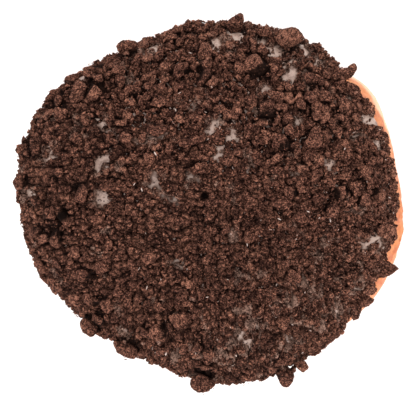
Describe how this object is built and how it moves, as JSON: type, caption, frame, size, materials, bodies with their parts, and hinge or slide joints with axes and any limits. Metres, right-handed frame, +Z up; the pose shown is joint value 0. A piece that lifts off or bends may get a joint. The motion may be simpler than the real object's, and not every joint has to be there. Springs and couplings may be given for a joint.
{
  "type": "filled doughnut",
  "caption": "Round filled doughnut without a hole, iced on top and coated all over with crushed chocolate cookie, with a strip of plain fried dough showing at one side.",
  "frame": {"origin": "centre of the object's box from above, at the flat underside it rests on", "axes": "+Z up out of the coated top, +X along the longest extent towards the side where the dough shows, +Y to the back, which is up in the picture"},
  "size_m": [0.0902, 0.087, 0.0366],
  "materials": {
    "dough": "fried yeast dough, soft satin, paler round its belt",
    "icing": "icing coated with dry chocolate cookie crumbs, matte and rough"
  },
  "bodies": {
    "root": {"dough": "dough", "icing": "icing"}
  },
  "joints": []
}
